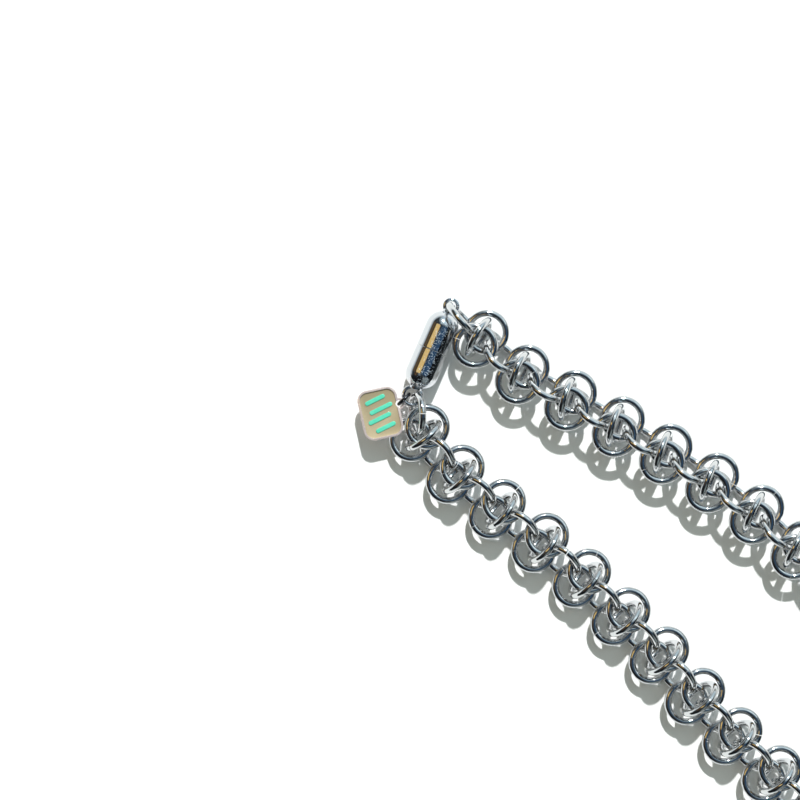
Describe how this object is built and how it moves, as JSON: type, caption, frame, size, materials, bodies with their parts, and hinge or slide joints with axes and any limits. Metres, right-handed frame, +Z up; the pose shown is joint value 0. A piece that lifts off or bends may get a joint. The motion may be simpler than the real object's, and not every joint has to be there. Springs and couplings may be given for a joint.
{
  "type": "byzantine-style chain necklace with a capsule clasp and a tag charm",
  "caption": "Closed chain necklace of interlocked round steel rings, lying in a long loop, with a polished capsule clasp and a small enamelled tag charm.",
  "frame": {"origin": "middle of the whole piece's footprint, on the surface it lies on", "axes": "+X along the loop from the clasp to its far end, +Y across it towards the strand that leaves the clasp's upper eye, +Z up"},
  "size_m": [0.2082, 0.0732, 0.0114],
  "materials": {
    "chain_steel": "polished stainless steel wire",
    "clasp_steel": "mirror-polished steel with light handling marks",
    "dark_ring": "dark plated wire",
    "charm_metal": "plated alloy, satin tan field and bright rim",
    "charm_enamel": "glossy mint enamel"
  },
  "bodies": {
    "root": {"chain_upper": "chain_steel", "chain_lower": "chain_steel", "clasp_half_upper": "clasp_steel", "clasp_half_lower": "clasp_steel", "end_ring_upper": "chain_steel", "end_ring_lower": "chain_steel", "charm_ring": "dark_ring", "charm_plate": "charm_metal", "charm_enamel": "charm_enamel"}
  },
  "joints": []
}
